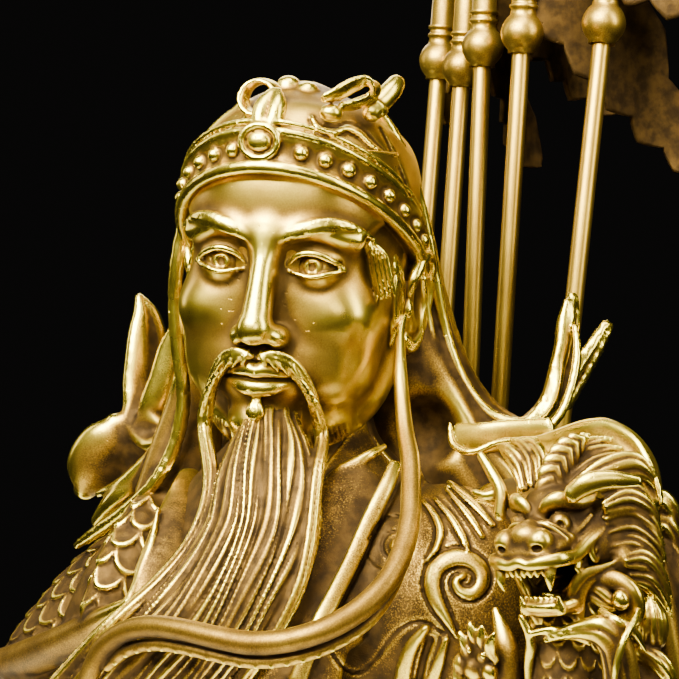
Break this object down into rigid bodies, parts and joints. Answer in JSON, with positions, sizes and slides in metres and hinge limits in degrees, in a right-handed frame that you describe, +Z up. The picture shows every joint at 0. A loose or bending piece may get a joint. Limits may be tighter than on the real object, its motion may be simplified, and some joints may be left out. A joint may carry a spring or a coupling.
{
  "type": "bust of a bearded general",
  "caption": "Cast brass bust of a bearded general of old in cap, hood and robe, with a dragon shoulder guard, cut flat below, and banners on poles in a case on its back.",
  "frame": {"origin": "on the flat underside, straight below the middle of the neck", "axes": "+Z up; the general faces -Y, so +X is towards the figure's left shoulder"},
  "size_m": [0.2205, 0.223, 0.2825],
  "materials": {
    "cast_brass": "polished on the heights, dark antique patina in the hollows",
    "pole_brass": "drawn rod, satin",
    "banner_brass": "cast, half polished, dark in the hollows"
  },
  "bodies": {
    "root": {"figure": "cast_brass", "pole_1": "pole_brass", "pole_2": "pole_brass", "pole_3": "pole_brass", "pole_4": "pole_brass", "pole_5": "pole_brass", "banner_1": "banner_brass", "banner_2": "banner_brass", "banner_3": "banner_brass", "banner_4": "banner_brass", "banner_5": "banner_brass"}
  },
  "joints": []
}
